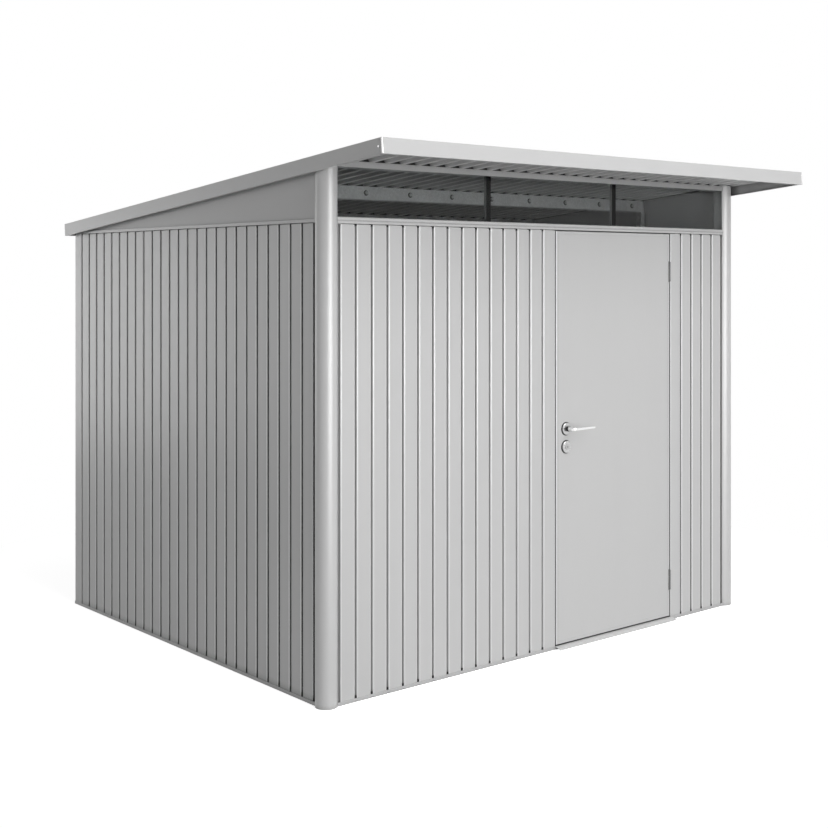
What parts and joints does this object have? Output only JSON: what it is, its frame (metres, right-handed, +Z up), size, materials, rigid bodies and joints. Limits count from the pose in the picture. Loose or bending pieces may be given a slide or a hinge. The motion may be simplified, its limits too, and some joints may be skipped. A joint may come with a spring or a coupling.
{
  "type": "metal storage shed",
  "caption": "Sheet-metal garden shed with grooved walls, round front posts, a mono-pitch roof with a deep front overhang, a glazed strip under it and a hinged door with a lever handle.",
  "frame": {"origin": "middle of the roof's outline in plan, at ground level under the base rails", "axes": "+X to the right along the front as seen from outside, +Y to the back, +Z up"},
  "size_m": [2.615, 2.5966, 2.1705],
  "materials": {
    "sheet_silver": "satin silver metallic paint on galvanised sheet",
    "frame_silver": "satin silver-grey paint",
    "post_silver": "silver metallic paint with a brighter gloss on drawn tube",
    "frame_dark": "satin dark grey paint",
    "frame_steel": "plain galvanised steel",
    "hinge_steel": "bright zinc-plated steel",
    "handle_metal": "satin anodised",
    "lock_metal": "satin nickel",
    "glazing_clear": "clear smooth pane"
  },
  "bodies": {
    "shed": {"base_rail_front": "sheet_silver", "base_rail_rear": "sheet_silver", "base_rail_left": "sheet_silver", "base_rail_right": "sheet_silver", "door_sill": "sheet_silver", "post_front_left": "post_silver", "post_front_right": "post_silver", "post_rear_left": "sheet_silver", "post_rear_right": "sheet_silver", "front_wall_left": "sheet_silver", "front_wall_right": "sheet_silver", "left_wall": "sheet_silver", "right_wall": "sheet_silver", "rear_wall": "sheet_silver", "front_rail": "sheet_silver", "front_keepers": "frame_steel", "side_rail_left": "sheet_silver", "side_rail_right": "sheet_silver", "rear_rail": "sheet_silver", "header_beam": "frame_silver", "glazing": "glazing_clear", "mullions": "frame_dark", "gable_left": "frame_silver", "gable_right": "frame_silver", "purlin_front": "frame_steel", "purlin_rear": "frame_steel", "purlin_posts_left": "frame_steel", "purlin_posts_right": "frame_steel", "roof_sheets": "sheet_silver", "fascia_front": "sheet_silver", "fascia_rear": "sheet_silver", "fascia_left": "sheet_silver", "fascia_right": "sheet_silver", "door_jambs": "frame_steel", "door_stops": "frame_steel", "hinge_brackets": "hinge_steel"},
    "door": {"door_leaf": "sheet_silver", "door_back": "sheet_silver", "door_hinge_plates": "hinge_steel", "handle_roses": "handle_metal", "lock_plates": "handle_metal", "lock_cylinder": "lock_metal"},
    "lever": {"lever_outside": "handle_metal", "lever_inside": "handle_metal", "lever_spindle": "handle_metal"}
  },
  "joints": [
    {"name": "door_swing", "type": "hinge", "parent": "shed", "child": "door", "pos_m": [0.7945, -0.89791, 0.94], "axis": [0, 0, 1], "range_deg": [0, 110]},
    {"name": "lever_turn", "type": "hinge", "parent": "door", "child": "lever", "pos_m": [0.068, -0.89691, 0.98], "axis": [0, 1, 0], "range_deg": [0, 40], "stiffness_Nm_per_rad": 2, "springref_deg": -20.05}
  ]
}
